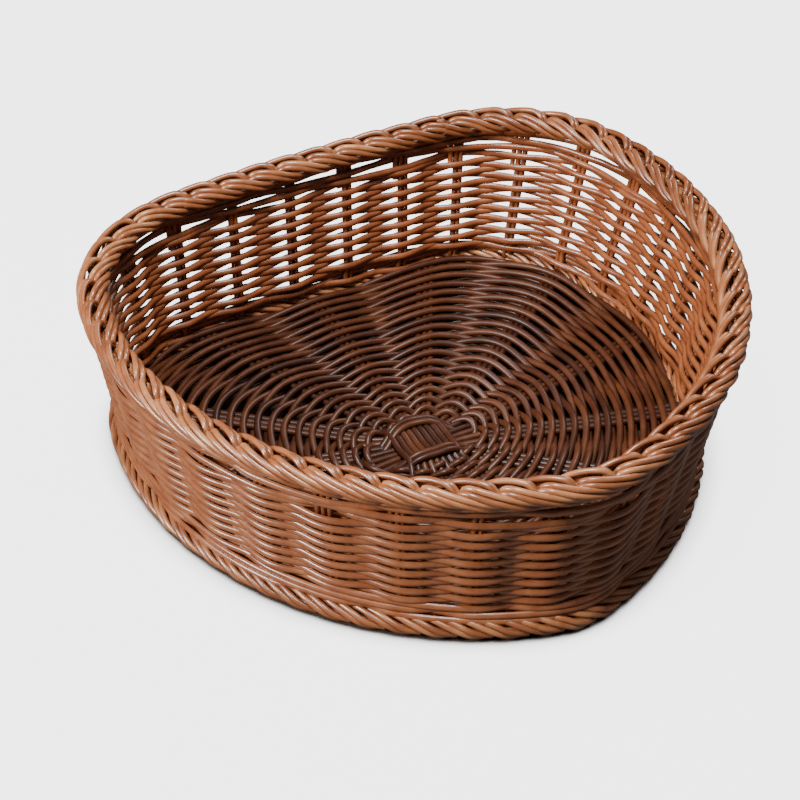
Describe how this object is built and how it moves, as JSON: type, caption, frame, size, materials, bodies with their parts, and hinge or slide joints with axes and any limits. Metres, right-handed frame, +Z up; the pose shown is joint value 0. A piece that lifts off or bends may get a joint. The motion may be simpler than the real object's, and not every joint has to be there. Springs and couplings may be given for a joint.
{
  "type": "woven fruit basket",
  "caption": "Woven fruit basket of brown plastic cane with a rounded three-cornered plan, stakes and woven wall, plaited border and foot, and a flat woven floor.",
  "frame": {"origin": "middle of the basket's outline on the surface it stands on", "axes": "+Z up, +Y towards the flat back side, -Y towards the narrow corner, +X to the right seen from the narrow corner"},
  "size_m": [0.2791, 0.2664, 0.0799],
  "materials": {
    "wall_cane": "satin",
    "border_cane": "satin",
    "stake_cane": "satin",
    "floor_cane": "satin"
  },
  "bodies": {
    "root": {"border_cane_1": "border_cane", "border_cane_2": "border_cane", "border_cane_3": "border_cane", "border_cane_4": "border_cane", "floor_cross_lower": "floor_cane", "floor_cross_upper": "floor_cane", "floor_rounds_lower": "floor_cane", "floor_rounds_upper": "floor_cane", "floor_spokes": "floor_cane", "foot_cane_1": "border_cane", "foot_cane_2": "border_cane", "foot_cane_3": "border_cane", "lower_wale_1": "wall_cane", "lower_wale_2": "wall_cane", "stakes": "stake_cane", "upper_wale_1": "wall_cane", "upper_wale_2": "wall_cane", "upper_wale_3": "wall_cane", "weave_row_01": "wall_cane", "weave_row_02": "wall_cane", "weave_row_03": "wall_cane", "weave_row_04": "wall_cane", "weave_row_05": "wall_cane", "weave_row_06": "wall_cane", "weave_row_07": "wall_cane", "weave_row_08": "wall_cane", "weave_row_09": "wall_cane", "weave_row_10": "wall_cane", "weave_row_11": "wall_cane", "weave_row_12": "wall_cane", "weave_row_13": "wall_cane", "weave_row_14": "wall_cane", "weave_row_15": "wall_cane", "weave_row_16": "wall_cane", "weave_row_17": "wall_cane"}
  },
  "joints": []
}
